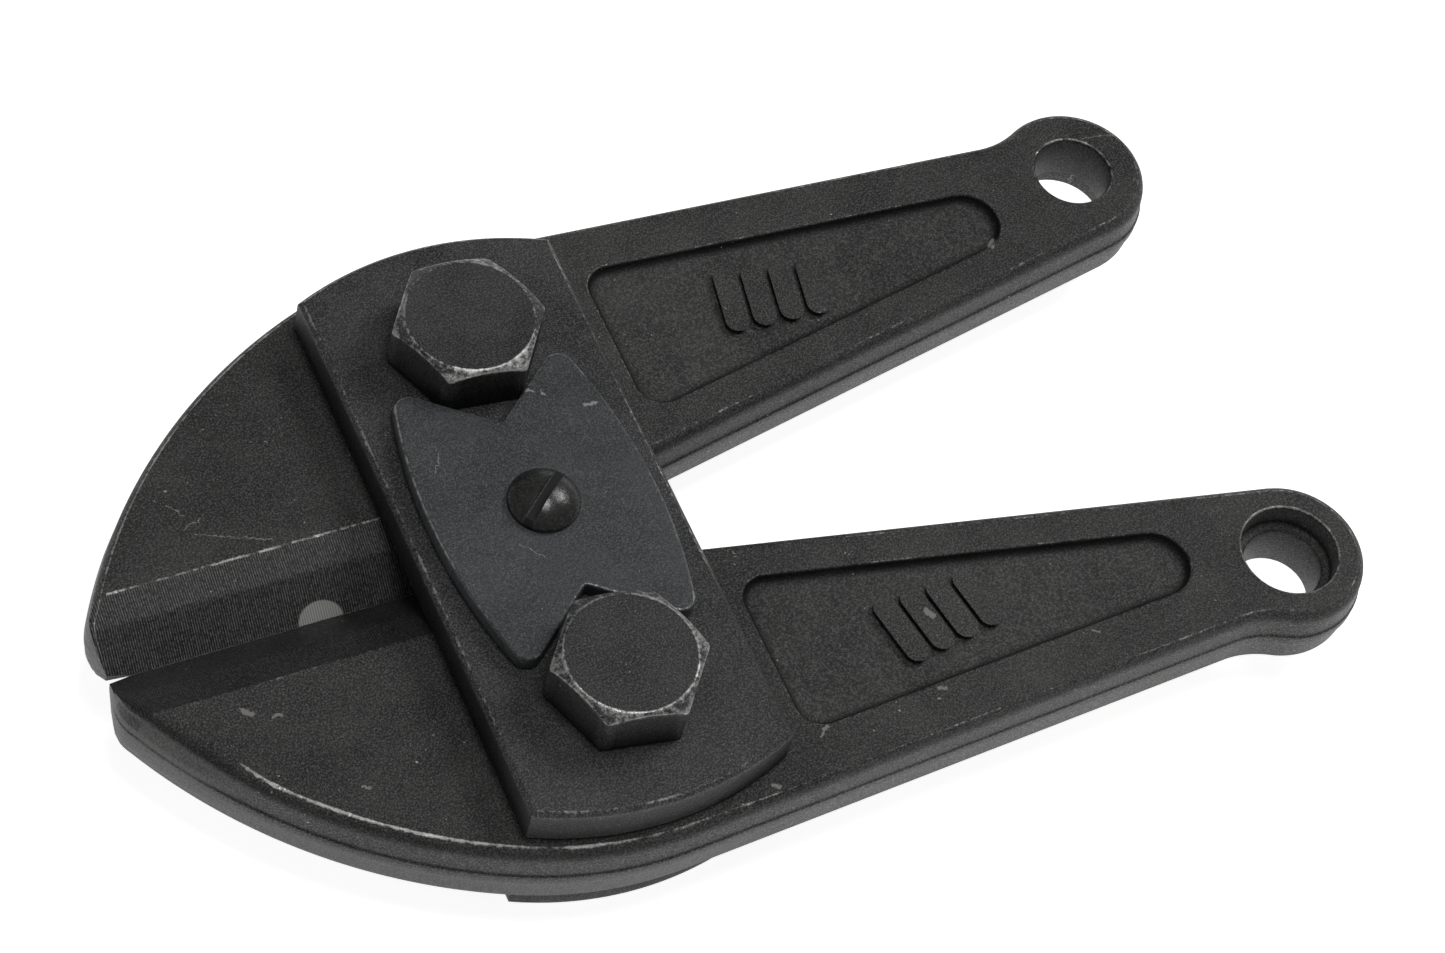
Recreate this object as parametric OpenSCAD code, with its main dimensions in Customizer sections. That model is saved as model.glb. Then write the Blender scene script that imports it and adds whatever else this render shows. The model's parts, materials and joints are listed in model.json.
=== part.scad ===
// Cutting head of a pair of bolt cutters, closed, standing on its rear strap.
// X runs along the head with the blade tips at -X and the handle tails at +X.
// The upper jaw is on the +Y side. +Z is the side with the bolt heads.
// Each jaw is one forging: the lower jaw is the same forging turned over about X.

/* [Head] */
// Distance between the two pivot bolts
pivot_spacing = 64.5; // [54:0.1:80]
// Pivot line to the foremost point of the blade tips
tip_reach = 71.2; // [58:0.1:88]
// Pivot line to the handle holes
hole_reach = 117; // [97:0.1:142]
// How far each handle hole lies outside the line of the pivot bolts
hole_rise = 7.8; // [6:0.1:10]
// Gap left between the two closed cutting edges
edge_gap = 0.2; // [0.1:0.05:0.4]

/* [Jaws] */
// Thickness of each forged jaw
jaw_t = 13.6; // [11:0.1:18]
// Side clearance between a jaw and each strap
side_gap = 0.15; // [0.1:0.05:0.3]
// Radius of the long curved back of the blade
back_r = 94; // [78:1:114]
// Metal between the middle of each pivot bolt and the edge of the shoulder
shoulder_rise = 24.2; // [20:0.1:29]
// Radius of the shoulder beside the pivot
shoulder_r = 61; // [54:0.5:74]
// Slope of the outer edge of the tail, in degrees
tail_slope = 3.5; // [2:0.1:5]
// Radius of the round boss at the end of the tail
boss_r = 13.4; // [11.5:0.1:16]
// Radius of the hollow that leads from the tail into the boss
neck_r = 15; // [10:1:20]
// Where the inner edge of the tail starts behind the pivot line
heel_x = 8; // [6:0.5:11]
// Height of the inner edge of the tail where it starts
heel_h = 5.3; // [5:0.1:7]

/* [Cutting edge] */
// Width of the whole ground bevel, from the edge to the flat of the jaw
bevel_w = 11; // [9:0.1:13]
// Width of the steep part of the bevel next to the edge
bevel_steep_w = 6.1; // [4.5:0.1:7]
// Depth at which the shallow part of the bevel meets the steep part
bevel_step = 1.6; // [1:0.1:2.4]
// Thickness of the land left on the cutting edge
edge_land = 0.3; // [0.2:0.05:0.8]
// How far the cutting edge falls back at the tip
tip_relief = 0.6; // [0.3:0.1:1]
// Length of the relieved stretch at the tip
tip_relief_l = 3.6; // [2:0.1:5]
// Lean of the front of the tip, in degrees
tip_lean = 12; // [6:1:18]
// Radius of the turn from the front of the tip into the back of the blade
tip_r = 7; // [5:0.1:12]
// Radius of the relief hole that ends the cutting edge
relief_r = 2.5; // [1.5:0.1:3]
// Distance of the relief hole in front of the pivot line
relief_x = 12; // [10:0.5:15]

/* [Tail pocket] */
// Depth of the forged pocket in each face of the tail
pocket_d = 1.6; // [1:0.1:3]
// Start of the pocket behind the pivot line
pocket_x = 26.8; // [25:0.1:30]
// Rim left between the pocket and the outer edge of the tail
pocket_rim_out = 9.2; // [7:0.1:11]
// Rim left between the pocket and the inner edge of the tail
pocket_rim_in = 7.2; // [6:0.1:9]
// Radius of the two wide corners of the pocket
pocket_corner_r = 4.5; // [2:0.1:6]
// Solid metal between the end of the pocket and the handle hole
pocket_end = 12; // [9:0.1:16]

/* [Handle holes] */
// Diameter of the handle hole
hole_d = 13; // [11:0.1:14.5]
// Diameter of the counterbore on one face
counterbore_d = 16; // [15:0.1:18]
// Depth of the counterbore
counterbore_depth = 4.6; // [3:0.1:6]

/* [Straps] */
// Thickness of the front and the rear strap
strap_t = 7.5; // [6:0.1:9]
// Width of each strap along the head
strap_w = 43.5; // [36:0.1:53]
// Metal between the middle of each pivot bolt and the end of the strap
strap_rise = 21; // [17:0.1:26]
// Bevel along the top edges of the front strap
strap_bevel = 0.8; // [0.4:0.1:1.2]

/* [Pivot bolts] */
// Size of the bolt heads across the flats
head_af = 22; // [18.3:0.1:26.5]
// Height of the bolt heads
head_h = 9.2; // [8:0.1:11]
// Narrowing of the bolt head at its chamfered top, across the flats
head_chamfer = 1.2; // [0.4:0.1:2.5]
// Diameter of the shank that the jaw turns on
shank_d = 16; // [14:0.1:18.2]
// Radial running clearance between the shank and the jaw
pivot_clearance = 0.05; // [0.02:0.01:0.1]
// Step down from the shank to the threaded end in the rear strap
thread_step = 1; // [0.5:0.1:2]
// How far the threaded end stays below the rear face
thread_recess = 0.5; // [0.2:0.1:1.5]
// Turn of the upper bolt head away from square, in degrees
upper_turn = -6; // [-12:1:12]
// Turn of the lower bolt head away from square, in degrees
lower_turn = -9; // [-12:1:12]

/* [Lock plate] */
// Thickness of the lock plate
plate_t = 3; // [2:0.1:4]
// Width of the lock plate at its middle
plate_w = 36.6; // [34:0.2:40]
// Radius of the two long curved sides of the plate
plate_side_r = 92; // [80:1:120]
// Radius of the rounded lobes
lobe_r = 2.6; // [1.5:0.1:3.5]
// Angle of each side of the end notches, measured from across the head
notch_angle = 38.5; // [32:0.5:42]
// Clearance between the notch and the corners of the bolt heads
notch_gap = 0.2; // [0.1:0.05:0.5]
// Turn of the plate away from square, in degrees
plate_turn = 1.5; // [-2:0.5:2]

/* [Lock screw] */
// Diameter of the round screw head
screw_head_d = 11.5; // [10:0.1:13]
// Height of the straight rim of the screw head
screw_rim = 0.9; // [0.5:0.1:1.5]
// Height of the dome above the rim
screw_dome = 2.5; // [1.5:0.1:3.5]
// Diameter of the screw thread
screw_d = 6; // [4:0.1:8]
// Length of the screw below the lock plate
screw_l = 6.5; // [5:0.1:7.5]
// Width of the screwdriver slot
slot_w = 1.7; // [1:0.1:2]
// Depth of the screwdriver slot
slot_d = 1.8; // [1:0.1:2.5]
// Direction of the slot, in degrees from the X axis
slot_turn = 40; // [0:5:175]

/* [Hidden] */
$fn = 96;
eps = 0.5;             // how far a cutting solid runs past the face it cuts
thread_gap = 0.05;     // radial gap in the threaded joints
screw_clearance = 0.3; // radial gap between the lock screw and the lock plate
strap_clearance = 0.1; // radial gap between the shanks and the front strap
arc_foot = 0.93;       // inner limit of an outline arc, as a share of its radius
arc_top = 1.2;         // outer limit of an outline arc, as a share of its radius
tuck = 0.02;           // how far straight edges sit inside the arcs they meet
core_inset = 1;        // how far the corners of the jaw's core sit inside its back
arc_more = 5;          // how far an arc runs on past the point where it meets the next piece
tip_h = 7.8;           // height of the foremost point of the blade outline
tip_slant = 1.4;       // how far that point lies ahead of the cutting edge
heel_share = 0.8;      // length of the heel flat, as a share of what the swing allows

half_gap = edge_gap / 2;
pivot_y = pivot_spacing / 2;
jaw_z = strap_t + side_gap + jaw_t / 2;
front_z = strap_t + 2 * side_gap + jaw_t;
plate_z = front_z + strap_t;
strap_r = pivot_y + strap_rise;
thread_r = shank_d / 2 - thread_step;
head_corner_r = head_af / sqrt(3);
ring_r = (head_af - head_chamfer) / 2;

function angle_of(v) = atan2(v[1], v[0]);
function along(a) = [cos(a), sin(a)];

// Part of a disc that gives an outline its round stretch between two angles
module outline_arc(c, r, a0, a1, foot) {
    translate(c) intersection() {
        circle(r = r);
        polygon([foot * r * along(a0), arc_top * r * along(a0),
                 arc_top * r * along(a1), foot * r * along(a1)]);
    }
}

// Boss, the outer edge of the tail, and the hollow between them
boss_c = [hole_reach, pivot_y + hole_rise];
shoulder_c = [0, pivot_y + shoulder_rise - shoulder_r];
tail_n = along(90 - tail_slope);
tail_u = along(-tail_slope);
tail_p = shoulder_c + shoulder_r * tail_n;
boss_drop = (tail_p - boss_c) * tail_n;
neck_back = sqrt(pow(boss_r + neck_r, 2) - pow(neck_r + boss_drop, 2));
neck_c = boss_c + tail_n * (boss_drop + neck_r) - tail_u * neck_back;
neck_a = angle_of(neck_c - boss_c);

// Inner edge of the tail: from the heel, touching the boss
heel_p = [heel_x, heel_h];
heel_v = boss_c - heel_p;
inner_a = angle_of(heel_v) - asin(boss_r / norm(heel_v));
heel_flat = heel_share * sqrt(pow(pivot_y, 2) - pow(pivot_y - half_gap, 2));

// The back of the blade touches the shoulder and ends at the foremost point of the tip
back_d = back_r - shoulder_r;
back_v = [-tip_reach, tip_h] - shoulder_c;
back_cos = (back_r * back_r - back_v * back_v - back_d * back_d) / (2 * back_d * norm(back_v));
back_a = angle_of(back_v) - acos(back_cos);
back_c = shoulder_c - back_d * along(back_a);

// Front of the tip: a leaning edge, then a turn that touches it and the back
tip_edge = [tip_slant - tip_reach, half_gap + tip_relief];
tip_n = along(tip_lean);
tip_base = tip_edge + tip_r * tip_n - back_c;
tip_run = tip_base * along(tip_lean + 90);
tip_t = sqrt(tip_run * tip_run - tip_base * tip_base + pow(back_r - tip_r, 2)) - tip_run;
tip_c = tip_base + tip_t * along(tip_lean + 90) + back_c;
tip_a = angle_of(tip_c - back_c);

// The pivot line lies this far along the head from the middle of its whole length
shift_x = -(tip_c[0] - tip_r + hole_reach + boss_r) / 2;

// Outline of the upper jaw, with the pivot line at x = 0
module jaw_plan() {
    difference() {
        union() {
            polygon([[heel_flat, half_gap], heel_p,
                     boss_c + (boss_r - tuck) * along(inner_a - 90),
                     boss_c + (boss_r + tuck) * along(neck_a),
                     neck_c - (neck_r + tuck) * tail_n,
                     tail_p - tuck * tail_n,
                     back_c + (back_r - core_inset) * along(back_a),
                     back_c + (back_r - core_inset) * along((back_a + tip_a) / 2),
                     back_c + (back_r - core_inset) * along(tip_a),
                     tip_c - (tip_r - tuck) * tip_n,
                     tip_edge,
                     [tip_edge[0] + tip_relief_l, half_gap]]);
            outline_arc(tip_c, tip_r, tip_lean + 180 + arc_more, tip_a - arc_more, 0);
            outline_arc(back_c, back_r - tuck, tip_a, back_a, arc_foot);
            outline_arc(shoulder_c, shoulder_r, back_a + arc_more,
                        90 - tail_slope - arc_more, arc_foot);
            translate(boss_c) circle(r = boss_r);
        }
        translate(neck_c) circle(r = neck_r + 2 * tuck);
    }
}

// Tail pocket, with two rounded corners and a round narrow end
pocket_out_p = tail_p - tail_n * (pocket_rim_out + pocket_corner_r);
pocket_in_p = heel_p + along(inner_a + 90) * (pocket_rim_in + pocket_corner_r);
function pocket_top(x) = pocket_out_p[1] - (x - pocket_out_p[0]) * tan(tail_slope);
function pocket_low(x) = pocket_in_p[1] + (x - pocket_in_p[0]) * tan(inner_a);
pocket_c0 = pocket_x + pocket_corner_r;
pocket_c1 = hole_reach - hole_d / 2 - pocket_end - pocket_corner_r;
pocket_low_c = [pocket_c0, pocket_low(pocket_c0)];
pocket_top_c = [pocket_c0, pocket_top(pocket_c0)];
pocket_tip_c = [pocket_c1, (pocket_top(pocket_c1) + pocket_low(pocket_c1)) / 2];
pocket_tip_r = pocket_corner_r + (pocket_tip_c - pocket_low_c) * along(inner_a + 90);

module pocket_plan() {
    corner_in = pocket_corner_r - tuck;
    tip_in = pocket_tip_r - tuck;
    polygon([pocket_low_c - [corner_in, 0],
             pocket_low_c + corner_in * along(inner_a - 90),
             pocket_tip_c + tip_in * along(inner_a - 90),
             pocket_tip_c + tip_in * tail_n,
             pocket_top_c + corner_in * tail_n,
             pocket_top_c - [corner_in, 0]]);
    translate(pocket_low_c) circle(r = pocket_corner_r);
    translate(pocket_top_c) circle(r = pocket_corner_r);
    translate(pocket_tip_c) circle(r = pocket_tip_r);
}

// Cross section of the metal that the bevel takes off one face
module bevel_section() {
    polygon([[-eps - half_gap, edge_land / 2],
             [half_gap, edge_land / 2],
             [bevel_steep_w, jaw_t / 2 - bevel_step],
             [bevel_w, jaw_t / 2],
             [bevel_w, jaw_t / 2 + eps],
             [-eps - half_gap, jaw_t / 2 + eps]]);
}

// One forging, drawn as the upper jaw about its middle plane
module jaw() {
    difference() {
        linear_extrude(height = jaw_t, center = true) jaw_plan();
        for (face = [0, 1]) mirror([0, 0, face]) {
            translate([-tip_reach - eps, 0, 0])
                rotate([90, 0, 90])
                linear_extrude(height = tip_reach + eps - relief_x) bevel_section();
            translate([0, 0, jaw_t / 2 - pocket_d])
                linear_extrude(height = pocket_d + eps) pocket_plan();
        }
        translate([-relief_x, 0, -jaw_t / 2 - eps])
            cylinder(r = relief_r, h = jaw_t + 2 * eps);
        translate([0, pivot_y, -jaw_t / 2 - eps])
            cylinder(r = shank_d / 2 + pivot_clearance, h = jaw_t + 2 * eps);
        translate([boss_c[0], boss_c[1], -jaw_t / 2 - eps])
            cylinder(d = hole_d, h = jaw_t + 2 * eps);
        translate([boss_c[0], boss_c[1], -jaw_t / 2 - eps])
            cylinder(d = counterbore_d, h = counterbore_depth + eps);
    }
}

module jaw_upper() {
    color([0.16, 0.16, 0.17])
        translate([shift_x, 0, jaw_z]) jaw();
}

module jaw_lower() {
    color([0.14, 0.14, 0.15])
        translate([shift_x, 0, jaw_z]) rotate([180, 0, 0]) jaw();
}

// Plan of a strap: a disc cut to the width of the strap
module strap_plan(inset) {
    intersection() {
        circle(r = strap_r - inset);
        square([strap_w - 2 * inset, 2 * strap_r], center = true);
    }
}

module strap_front() {
    color([0.19, 0.20, 0.20])
        translate([shift_x, 0, front_z])
        difference() {
            union() {
                linear_extrude(height = strap_t - strap_bevel) strap_plan(0);
                linear_extrude(height = strap_t) strap_plan(strap_bevel);
            }
            for (side = [-1, 1])
                translate([0, side * pivot_y, -eps])
                cylinder(r = shank_d / 2 + strap_clearance, h = strap_t + 2 * eps);
            translate([0, 0, -eps])
                cylinder(r = screw_d / 2 + thread_gap, h = strap_t + 2 * eps);
        }
}

module strap_rear() {
    color([0.17, 0.18, 0.18])
        translate([shift_x, 0, 0])
        difference() {
            linear_extrude(height = strap_t) strap_plan(0);
            for (side = [-1, 1])
                translate([0, side * pivot_y, -eps])
                cylinder(r = thread_r + thread_gap, h = strap_t + 2 * eps);
        }
}

// Outline of the round cone that chamfers a bolt head, to one side of its axis
module head_profile() {
    wide_r = head_corner_r + eps;
    polygon([[0, 0], [wide_r, 0], [wide_r, head_h - (wide_r - ring_r) * tan(30)],
             [ring_r, head_h], [0, head_h]]);
}

// Shoulder bolt, drawn with the underside of its head at z = 0
module pivot_bolt(turn) {
    shank_l = strap_t + 2 * side_gap + jaw_t;
    intersection() {
        rotate([0, 0, turn]) cylinder(r = head_corner_r, h = head_h, $fn = 6);
        rotate_extrude() head_profile();
    }
    translate([0, 0, -shank_l]) cylinder(d = shank_d, h = shank_l);
    translate([0, 0, thread_recess - shank_l - strap_t])
        cylinder(r = thread_r, h = strap_t - thread_recess);
}

module pivot_bolt_upper() {
    color([0.20, 0.20, 0.21])
        translate([shift_x, pivot_y, plate_z]) pivot_bolt(upper_turn);
}

module pivot_bolt_lower() {
    color([0.18, 0.18, 0.19])
        translate([shift_x, -pivot_y, plate_z]) pivot_bolt(lower_turn);
}

// A corner of a bolt head, measured along and across the turned lock plate
function head_corner(side, turn, a) =
    let (p = [0, side * pivot_y] + head_corner_r * along(a + turn))
    [p * along(plate_turn), p * along(plate_turn + 90)];

// Bottom of the end notches, set so that their sides clear every facing corner
facing_corners = [head_corner(1, upper_turn, 240), head_corner(1, upper_turn, 300),
                  head_corner(-1, lower_turn, 60), head_corner(-1, lower_turn, 120)];
notch_bottom = min([for (p = facing_corners) abs(p[1]) - abs(p[0]) * tan(notch_angle)])
    - notch_gap / cos(notch_angle);

// Centre of a lobe, which touches the long side and the side of the notch
side_c = plate_side_r - plate_w / 2;
notch_n = along(90 + notch_angle);
lobe_base = [side_c, notch_bottom] - lobe_r * notch_n;
lobe_run = lobe_base * along(notch_angle);
lobe_t = sqrt(lobe_run * lobe_run - lobe_base * lobe_base + pow(plate_side_r - lobe_r, 2)) - lobe_run;
lobe_c = lobe_base + lobe_t * along(notch_angle) - [side_c, 0];
lobe_a = angle_of(lobe_c + [side_c, 0]);
notch_p = lobe_c + (lobe_r - tuck) * notch_n;
function flip_x(p) = [-p[0], p[1]];
function flip_y(p) = [p[0], -p[1]];

module plate_plan() {
    side_foot = (side_c + lobe_c[0] - lobe_r / 2) / cos(lobe_a) / plate_side_r;
    polygon([lobe_c, notch_p, [0, notch_bottom], flip_x(notch_p), flip_x(lobe_c),
             -lobe_c, -notch_p, [0, -notch_bottom], flip_y(notch_p), flip_y(lobe_c)]);
    outline_arc([-side_c, 0], plate_side_r - tuck, -lobe_a, lobe_a, side_foot);
    outline_arc([side_c, 0], plate_side_r - tuck, 180 - lobe_a, 180 + lobe_a, side_foot);
    for (c = [lobe_c, flip_x(lobe_c), flip_y(lobe_c), -lobe_c])
        translate(c) circle(r = lobe_r);
}

module lock_plate() {
    color([0.20, 0.22, 0.24])
        translate([shift_x, 0, plate_z])
        difference() {
            rotate([0, 0, plate_turn]) linear_extrude(height = plate_t) plate_plan();
            translate([0, 0, -eps])
                cylinder(r = screw_d / 2 + screw_clearance, h = plate_t + 2 * eps);
        }
}

module lock_screw() {
    head_r = screw_head_d / 2;
    dome_r = (head_r * head_r + screw_dome * screw_dome) / (2 * screw_dome);
    color([0.24, 0.24, 0.23])
        translate([shift_x, 0, plate_z + plate_t])
        difference() {
            union() {
                intersection() {
                    cylinder(r = head_r, h = screw_rim + screw_dome);
                    translate([0, 0, screw_rim + screw_dome - dome_r]) sphere(r = dome_r);
                }
                translate([0, 0, -plate_t - screw_l])
                    cylinder(d = screw_d, h = plate_t + screw_l + eps);
            }
            rotate([0, 0, slot_turn])
                translate([-head_r, -slot_w / 2, screw_rim + screw_dome - slot_d])
                cube([screw_head_d, slot_w, slot_d + eps]);
        }
}

strap_rear();
jaw_upper();
jaw_lower();
strap_front();
pivot_bolt_upper();
pivot_bolt_lower();
lock_plate();
lock_screw();
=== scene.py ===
import json
import math

import bmesh
import bpy
import numpy as np
from mathutils import Matrix, Vector
from mathutils.geometry import delaunay_2d_cdt


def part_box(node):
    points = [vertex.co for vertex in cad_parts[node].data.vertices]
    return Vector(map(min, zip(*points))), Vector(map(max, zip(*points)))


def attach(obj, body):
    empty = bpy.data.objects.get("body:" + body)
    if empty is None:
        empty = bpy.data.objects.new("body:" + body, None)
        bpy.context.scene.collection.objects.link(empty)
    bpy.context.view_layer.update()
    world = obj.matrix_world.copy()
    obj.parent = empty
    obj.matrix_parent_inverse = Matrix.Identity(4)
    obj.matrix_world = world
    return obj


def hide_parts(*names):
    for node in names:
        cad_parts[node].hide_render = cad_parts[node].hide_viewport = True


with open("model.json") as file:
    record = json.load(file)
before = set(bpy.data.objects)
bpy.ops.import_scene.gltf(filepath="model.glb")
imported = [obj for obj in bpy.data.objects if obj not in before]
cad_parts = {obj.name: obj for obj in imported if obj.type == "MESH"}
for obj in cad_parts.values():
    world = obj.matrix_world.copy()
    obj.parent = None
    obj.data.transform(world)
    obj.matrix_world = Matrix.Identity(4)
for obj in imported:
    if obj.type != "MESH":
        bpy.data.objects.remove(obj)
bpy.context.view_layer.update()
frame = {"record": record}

MM = 0.001
STEP = 0.7  # spacing of the points along an outline, in millimetres

# Sizes of the head, in millimetres, measured from the line of the pivot bolts
PIVOT_Y = 32.25
HALF_GAP = 0.06
JAW_HALF = 6.8
SHOULDER_C, SHOULDER_R = np.array([0.0, -4.55]), 61.0
BACK_R = 94.0
TAIL_SLOPE = 3.5
BOSS_C, BOSS_R, BOSS_FACE_R = np.array([117.0, 40.05]), 13.4, 9.2
NECK_R = 15.0
HEEL = np.array([8.0, 5.3])
HEEL_FLAT = 1.5
TIP_POINT, TIP_EDGE = np.array([-71.2, 7.8]), np.array([-69.8, 0.7])
TIP_LEAN, TIP_R = 12.0, 7.0
TIP_RELIEF_L = 3.6
RELIEF_X, RELIEF_R = -12.0, 2.5
BEVEL_W, BEVEL_STEEP_W, BEVEL_STEP, EDGE_LAND = 11.0, 6.1, 1.6, 0.15
BEVEL_END, BEVEL_FADE = -10.0, 4.0
POCKET_X, POCKET_CORNER_R = 26.8, 4.5
POCKET_RIM_OUT, POCKET_RIM_IN, POCKET_END = 9.2, 7.2, 12.0
BORE_R, COUNTERBORE_R, COUNTERBORE_D = 6.5, 8.0, 4.6
SHANK_R, THREAD_R = 8.0, 7.0
STRAP_W, STRAP_R, STRAP_T = 43.5, 53.25, 7.5
HEAD_AF, HEAD_H, HEAD_RING_R = 22.0, 9.2, 10.4
UPPER_TURN, LOWER_TURN = -6.0, -9.0
PLATE_T, PLATE_W, PLATE_SIDE_R = 3.0, 36.6, 92.0
LOBE_R, NOTCH_ANGLE, NOTCH_GAP, PLATE_TURN = 2.6, 38.5, 0.2, 1.5
SCREW_R, SCREW_RIM, SCREW_DOME, SCREW_SHANK_R = 5.75, 0.9, 2.5, 3.0
SLOT_W, SLOT_D, SLOT_TURN = 1.7, 1.8, 40.0

joints = {j["name"]: j for j in frame["record"]["behaviour"]["joints"]}
PIVOT_X = joints["jaw_upper_pivot"]["pos_m"][0] / MM
JAW_Z = joints["jaw_upper_pivot"]["pos_m"][2] / MM
FRONT_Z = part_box("strap_front")[0][2] / MM
PLATE_Z = FRONT_Z + STRAP_T


# ---------------------------------------------------------------- outlines

def toward(degrees):
    """Unit vector in a direction."""
    return np.array([math.cos(math.radians(degrees)), math.sin(math.radians(degrees))])


def direction(v):
    """Direction of a vector, in degrees."""
    return math.degrees(math.atan2(v[1], v[0]))


def arc(centre, radius, start, end, step=STEP):
    """Points of an arc between two angles."""
    n = max(3, math.ceil(abs(math.radians(end - start)) * radius / step))
    a = np.radians(np.linspace(start, end, n + 1))
    return centre + radius * np.column_stack((np.cos(a), np.sin(a)))


def straight(p, q, step=STEP):
    """Points of a straight stretch."""
    n = max(1, math.ceil(np.linalg.norm(np.subtract(q, p)) / step))
    return np.linspace(p, q, n + 1)


def chain(*stretches):
    """Joins stretches of (points, first weight, last weight) into a closed outline with its weights."""
    points, weights = [], []
    for pts, w0, w1 in stretches:
        for p, w in zip(pts, np.linspace(w0, w1, len(pts))):
            if not points or np.linalg.norm(p - points[-1]) > 0.02:
                points.append(np.array(p, float))
                weights.append(w)
    if np.linalg.norm(points[0] - points[-1]) < 0.02:
        points.pop()
        weights.pop()
    return np.array(points), np.array(weights)


def inward(points):
    """Inward normals of a closed outline that runs anticlockwise."""
    ahead = np.roll(points, -1, 0) - points
    behind = points - np.roll(points, 1, 0)
    ahead /= np.linalg.norm(ahead, axis=1)[:, None]
    behind /= np.linalg.norm(behind, axis=1)[:, None]
    t = ahead + behind
    t /= np.linalg.norm(t, axis=1)[:, None]
    return np.column_stack((-t[:, 1], t[:, 0]))


def jaw_geometry():
    """Centres and angles that the outline of a jaw is drawn from."""
    g = {}
    d = BACK_R - SHOULDER_R
    v = TIP_POINT - SHOULDER_C
    reach = np.linalg.norm(v)
    cosine = (BACK_R ** 2 - reach ** 2 - d ** 2) / (2 * d * reach)
    g["back_a"] = direction(v) - math.degrees(math.acos(cosine))
    g["back_c"] = SHOULDER_C - d * toward(g["back_a"])
    base = TIP_EDGE + TIP_R * toward(TIP_LEAN) - g["back_c"]
    run = base @ toward(TIP_LEAN + 90)
    t = math.sqrt(run ** 2 - base @ base + (BACK_R - TIP_R) ** 2) - run
    g["tip_c"] = base + t * toward(TIP_LEAN + 90) + g["back_c"]
    g["tip_a"] = direction(g["tip_c"] - g["back_c"])
    g["tail_n"], g["tail_u"] = toward(90 - TAIL_SLOPE), toward(-TAIL_SLOPE)
    g["tail_p"] = SHOULDER_C + SHOULDER_R * g["tail_n"]
    drop = (g["tail_p"] - BOSS_C) @ g["tail_n"]
    back = math.sqrt((BOSS_R + NECK_R) ** 2 - (NECK_R + drop) ** 2)
    g["neck_c"] = BOSS_C + g["tail_n"] * (drop + NECK_R) - g["tail_u"] * back
    g["neck_a"] = direction(g["neck_c"] - BOSS_C)
    v = BOSS_C - HEEL
    g["inner_a"] = direction(v) - math.degrees(math.asin(BOSS_R / np.linalg.norm(v)))
    return g


GEO = jaw_geometry()


def jaw_outline():
    """Outline of the upper jaw, and how much of the forged rounding each point has."""
    g = GEO
    low = BOSS_C + BOSS_R * toward(g["inner_a"] - 90)
    front = g["tip_c"] - TIP_R * toward(TIP_LEAN)
    relief_end = [TIP_EDGE[0] + TIP_RELIEF_L, HALF_GAP]
    notch = math.degrees(math.asin(HALF_GAP / RELIEF_R))
    blend = HEEL + (low - HEEL) * 0.12
    return chain(
        (straight([HEEL_FLAT, HALF_GAP], HEEL), 0, 0),
        (straight(HEEL, blend), 0, 1.3),
        (straight(blend, low, 1.2), 1.3, 1.25),
        (arc(BOSS_C, BOSS_R, g["inner_a"] - 90, 20), 1.3, 1.2),
        (arc(BOSS_C, BOSS_R, 20, g["neck_a"]), 1.2, 1.2),
        (arc(g["neck_c"], NECK_R, g["neck_a"] + 180, 270 - TAIL_SLOPE), 1.2, 1),
        (straight(g["neck_c"] - NECK_R * g["tail_n"], g["tail_p"], 1.2), 1, 1),
        (arc(SHOULDER_C, SHOULDER_R, 90 - TAIL_SLOPE, g["back_a"]), 1, 1),
        (arc(g["back_c"], BACK_R, g["back_a"], g["tip_a"]), 1, 1.15),
        (arc(g["tip_c"], TIP_R, g["tip_a"], 180 + TIP_LEAN, 0.25), 1.15, 0.5),
        (straight(front, TIP_EDGE, 0.2), 0.5, 0.1),
        (straight(TIP_EDGE, relief_end, 0.25), 0, 0),
        (straight(relief_end, [RELIEF_X - RELIEF_R, HALF_GAP], 1.0), 0, 0),
        (arc([RELIEF_X, 0], RELIEF_R, 180 - notch, notch, 0.3), 0, 0),
        (straight([RELIEF_X + RELIEF_R, HALF_GAP], [HEEL_FLAT, HALF_GAP]), 0, 0),
    )


def pocket_outline():
    """Rim of the pocket in the tail."""
    a = GEO["inner_a"]
    n_in = toward(a + 90)
    top_p = GEO["tail_p"] - GEO["tail_n"] * (POCKET_RIM_OUT + POCKET_CORNER_R)
    low_p = HEEL + n_in * (POCKET_RIM_IN + POCKET_CORNER_R)

    def top(x):
        return top_p[1] - (x - top_p[0]) * math.tan(math.radians(TAIL_SLOPE))

    def low(x):
        return low_p[1] + (x - low_p[0]) * math.tan(math.radians(a))

    x0 = POCKET_X + POCKET_CORNER_R
    x1 = BOSS_C[0] - BORE_R - POCKET_END - POCKET_CORNER_R
    c_low, c_top = np.array([x0, low(x0)]), np.array([x0, top(x0)])
    c_end = np.array([x1, (top(x1) + low(x1)) / 2])
    r_end = POCKET_CORNER_R + (c_end - c_low) @ n_in
    low_end, top_end = c_end - r_end * n_in, c_end + r_end * GEO["tail_n"]
    return chain(
        (arc(c_low, POCKET_CORNER_R, 180, 270 + a, 0.5), 1, 1),
        (straight(c_low - POCKET_CORNER_R * n_in, low_end, 1.5), 1, 1),
        (arc(c_end, r_end, a - 90, 90 - TAIL_SLOPE, 0.5), 1, 1),
        (straight(top_end, c_top + POCKET_CORNER_R * GEO["tail_n"], 1.5), 1, 1),
        (arc(c_top, POCKET_CORNER_R, 90 - TAIL_SLOPE, 180, 0.5), 1, 1),
        (straight(c_top - [POCKET_CORNER_R, 0], c_low - [POCKET_CORNER_R, 0], 1.5), 1, 1),
    )


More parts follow.
